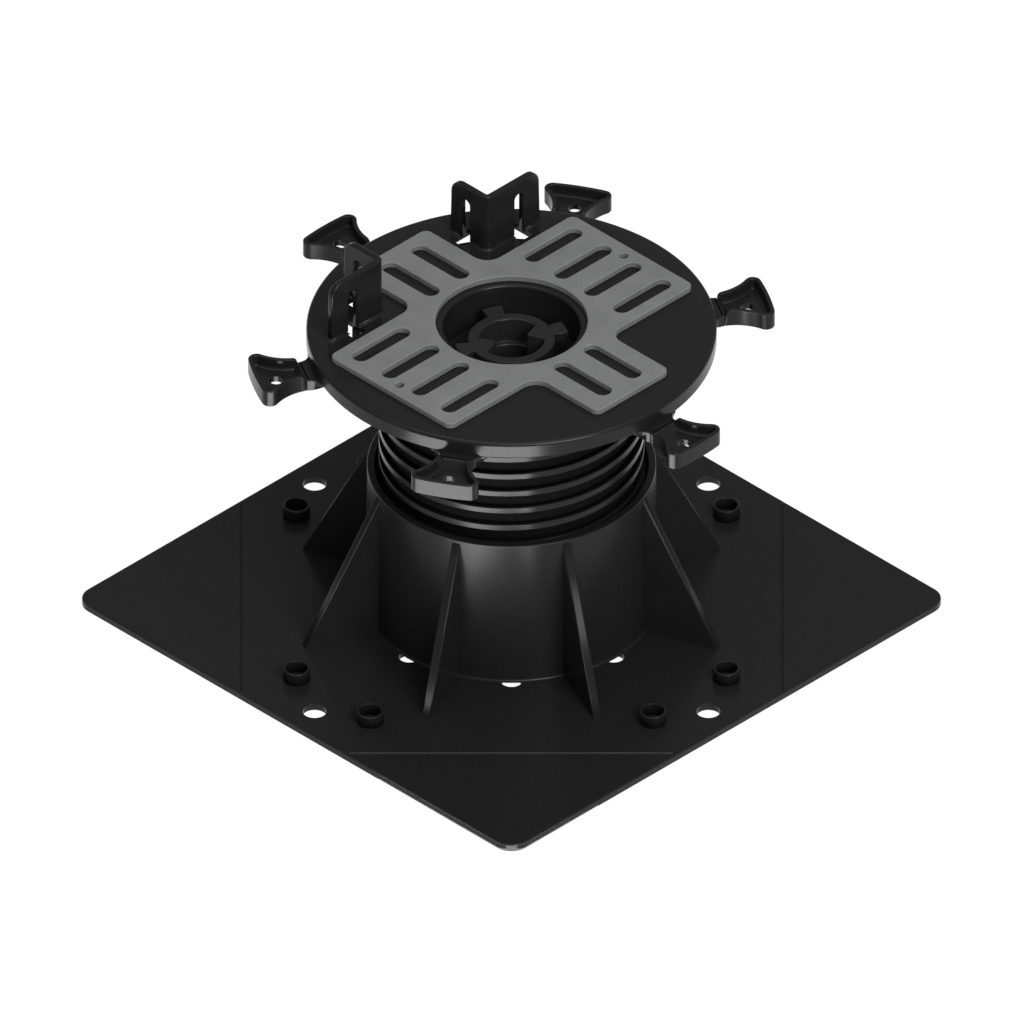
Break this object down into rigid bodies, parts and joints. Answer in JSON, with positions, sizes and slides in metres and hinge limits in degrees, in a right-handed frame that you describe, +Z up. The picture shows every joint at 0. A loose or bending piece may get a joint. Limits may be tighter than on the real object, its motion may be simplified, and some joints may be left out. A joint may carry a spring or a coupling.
{
  "type": "decking pedestal",
  "caption": "Height-adjustable pedestal: square foot plate, ribbed tube, screw and round head with soft pad, screw ears and joist tabs.",
  "frame": {"origin": "centre of the foot plate's underside, on the floor", "axes": "+Z up along the screw's axis; X and Y along the plate's sides; the joist tabs stand on the -X side of the head"},
  "size_m": [0.18, 0.18, 0.1177],
  "materials": {
    "black_plastic": "moulded satin",
    "grey_rubber": "matte"
  },
  "bodies": {
    "base": {"base": "black_plastic"},
    "head": {"head": "black_plastic", "pad": "grey_rubber"},
    "screw": {"screw": "black_plastic", "key_hub": "black_plastic"}
  },
  "joints": [
    {"name": "height", "type": "slide", "parent": "base", "child": "head", "axis": [0, 0, 1], "range_m": [-0.0409, 0]},
    {"name": "screw_turn", "type": "hinge", "parent": "head", "child": "screw", "pos_m": [0, 0, 0.0867], "axis": [0, 0, 1], "range_deg": [-2433, 0]}
  ],
  "couplings": [
    {"joint": "height", "follows": "screw_turn", "m_per_rad": 0.00096289}
  ]
}
